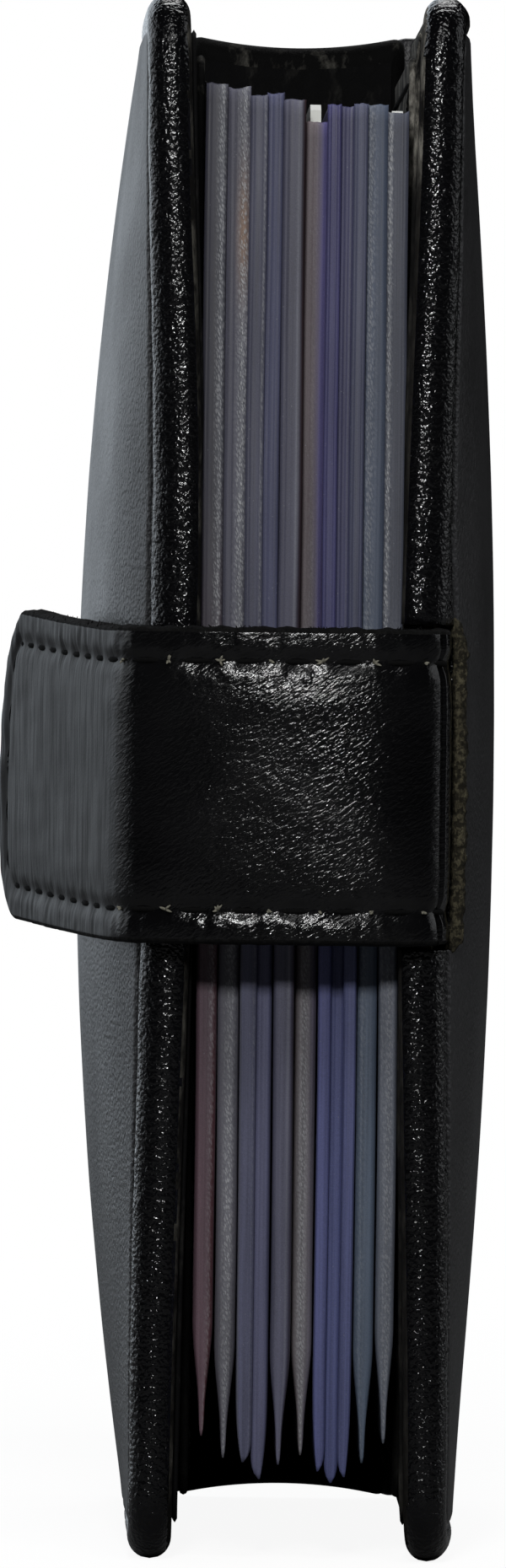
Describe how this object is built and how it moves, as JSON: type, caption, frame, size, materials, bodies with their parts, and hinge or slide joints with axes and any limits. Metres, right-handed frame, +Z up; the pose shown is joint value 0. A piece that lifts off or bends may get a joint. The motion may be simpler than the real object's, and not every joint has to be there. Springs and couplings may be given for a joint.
{
  "type": "card holder",
  "caption": "Book-form leather card holder: padded covers on a spine, clear card sleeves between them, and a stitched strap that closes over the fore-edge with a press stud.",
  "frame": {"origin": "middle of the spine's foot, on the plane that the holder stands on", "axes": "+Z up along the spine, -Y from the spine to the fore-edge where the strap closes, -X towards the front cover, +X towards the back cover"},
  "size_m": [0.0358, 0.0827, 0.11],
  "materials": {
    "cover_leather": "black pebbled leather, semi-gloss on the rolled edges and matt on the faces",
    "strap_leather": "black glossy leather with fine diagonal wrinkles",
    "strap_suede": "black flesh side of leather, matt",
    "lining_fabric": "black scuffed lining",
    "pocket_leather": "thin black leather, satin",
    "board_fibre": "grey-brown fibre board",
    "padding_foam": "soft closed-cell foam",
    "binding_tape": "black woven tape",
    "sleeve_film": "clear film with a bluish violet cast in the stack",
    "card_plastic": "blank white card",
    "snap_metal": "dull plated press stud"
  },
  "bodies": {
    "spine": {"spine_leather": "cover_leather", "spine_board": "board_fibre", "spine_lining": "lining_fabric", "page_binding": "binding_tape"},
    "front_cover": {"front_leather": "cover_leather", "front_board": "board_fibre", "front_foam": "padding_foam", "front_lining": "lining_fabric", "front_pocket": "pocket_leather", "snap_stud": "snap_metal", "stud_post": "snap_metal"},
    "back_cover": {"back_leather": "cover_leather", "back_board": "board_fibre", "back_foam": "padding_foam", "back_lining": "lining_fabric", "back_pocket": "pocket_leather", "strap_anchor": "strap_leather"},
    "strap_band": {"strap_outer_band": "strap_leather", "strap_lining_band": "strap_suede"},
    "strap_tip": {"strap_outer_tip": "strap_leather", "strap_lining_tip": "strap_suede", "snap_socket": "snap_metal", "snap_cap": "snap_metal"},
    "leaf_01": {"sleeve_01": "sleeve_film"},
    "leaf_02": {"sleeve_02": "sleeve_film"},
    "leaf_03": {"sleeve_03": "sleeve_film"},
    "leaf_04": {"sleeve_04": "sleeve_film"},
    "leaf_05": {"sleeve_05": "sleeve_film"},
    "leaf_06": {"sleeve_06": "sleeve_film"},
    "leaf_07": {"sleeve_07": "sleeve_film"},
    "leaf_08": {"sleeve_08": "sleeve_film"},
    "leaf_09": {"sleeve_09": "sleeve_film"},
    "leaf_10": {"sleeve_10": "sleeve_film"},
    "leaf_11": {"sleeve_11": "sleeve_film"},
    "front_card": {"card_front": "card_plastic"},
    "back_card": {"card_back": "card_plastic"}
  },
  "joints": [
    {"name": "front_cover_open", "type": "hinge", "parent": "spine", "child": "front_cover", "pos_m": [-0.0099, 0, 0.055], "axis": [0, 0, -1], "range_deg": [0, 170]},
    {"name": "back_cover_open", "type": "hinge", "parent": "spine", "child": "back_cover", "pos_m": [0.0099, 0, 0.055], "axis": [0, 0, 1], "range_deg": [0, 170]},
    {"name": "strap_open", "type": "hinge", "parent": "back_cover", "child": "strap_band", "pos_m": [0.01033, -0.0733, 0.0545], "axis": [0, 0, 1], "range_deg": [0, 135], "deforming": ["strap_outer_band", "strap_lining_band"]},
    {"name": "strap_tip_lift", "type": "hinge", "parent": "strap_band", "child": "strap_tip", "pos_m": [-0.0126, -0.07543, 0.0545], "axis": [0, 0, 1], "range_deg": [0, 95], "deforming": ["strap_outer_tip", "strap_lining_tip", "snap_socket", "snap_cap"]},
    {"name": "sleeve_01_turn", "type": "hinge", "parent": "spine", "child": "leaf_01", "pos_m": [-0.00636, -0.00397, 0.055], "axis": [0, 0, -1], "range_deg": [0, 61.2]},
    {"name": "sleeve_02_turn", "type": "hinge", "parent": "spine", "child": "leaf_02", "pos_m": [-0.00482, -0.00397, 0.055], "axis": [0, 0, -1], "range_deg": [0, 54.4]},
    {"name": "sleeve_03_turn", "type": "hinge", "parent": "spine", "child": "leaf_03", "pos_m": [-0.00344, -0.00397, 0.055], "axis": [0, 0, -1], "range_deg": [0, 47.6]},
    {"name": "sleeve_04_turn", "type": "hinge", "parent": "spine", "child": "leaf_04", "pos_m": [-0.00226, -0.00397, 0.055], "axis": [0, 0, -1], "range_deg": [0, 40.8]},
    {"name": "sleeve_05_turn", "type": "hinge", "parent": "spine", "child": "leaf_05", "pos_m": [-0.00092, -0.00397, 0.055], "axis": [0, 0, -1], "range_deg": [0, 34]},
    {"name": "sleeve_06_turn", "type": "hinge", "parent": "spine", "child": "leaf_06", "pos_m": [0.00062, -0.00397, 0.055], "axis": [0, 0, -1], "range_deg": [0, 5.1]},
    {"name": "sleeve_07_turn", "type": "hinge", "parent": "spine", "child": "leaf_07", "pos_m": [0.00187, -0.00397, 0.055], "axis": [0, 0, 1], "range_deg": [0, 5.1]},
    {"name": "sleeve_08_turn", "type": "hinge", "parent": "spine", "child": "leaf_08", "pos_m": [0.0028, -0.00397, 0.055], "axis": [0, 0, 1], "range_deg": [0, 34]},
    {"name": "sleeve_09_turn", "type": "hinge", "parent": "spine", "child": "leaf_09", "pos_m": [0.00373, -0.00397, 0.055], "axis": [0, 0, 1], "range_deg": [0, 42.5]},
    {"name": "sleeve_10_turn", "type": "hinge", "parent": "spine", "child": "leaf_10", "pos_m": [0.00495, -0.00397, 0.055], "axis": [0, 0, 1], "range_deg": [0, 51]},
    {"name": "sleeve_11_turn", "type": "hinge", "parent": "spine", "child": "leaf_11", "pos_m": [0.0064, -0.00397, 0.055], "axis": [0, 0, 1], "range_deg": [0, 59.5]},
    {"name": "card_front_slide", "type": "slide", "parent": "leaf_06", "child": "front_card", "axis": [0, 0, 1], "range_m": [0, 0.085]},
    {"name": "card_back_slide", "type": "slide", "parent": "leaf_11", "child": "back_card", "axis": [0, 0, 1], "range_m": [0, 0.085]}
  ],
  "couplings": [
    {"joint": "sleeve_01_turn", "follows": "front_cover_open", "ratio": 0.36},
    {"joint": "sleeve_02_turn", "follows": "front_cover_open", "ratio": 0.32},
    {"joint": "sleeve_03_turn", "follows": "front_cover_open", "ratio": 0.28},
    {"joint": "sleeve_04_turn", "follows": "front_cover_open", "ratio": 0.24},
    {"joint": "sleeve_05_turn", "follows": "front_cover_open", "ratio": 0.2},
    {"joint": "sleeve_06_turn", "follows": "front_cover_open", "ratio": 0.03},
    {"joint": "sleeve_07_turn", "follows": "back_cover_open", "ratio": 0.03},
    {"joint": "sleeve_08_turn", "follows": "back_cover_open", "ratio": 0.2},
    {"joint": "sleeve_09_turn", "follows": "back_cover_open", "ratio": 0.25},
    {"joint": "sleeve_10_turn", "follows": "back_cover_open", "ratio": 0.3},
    {"joint": "sleeve_11_turn", "follows": "back_cover_open", "ratio": 0.35}
  ]
}
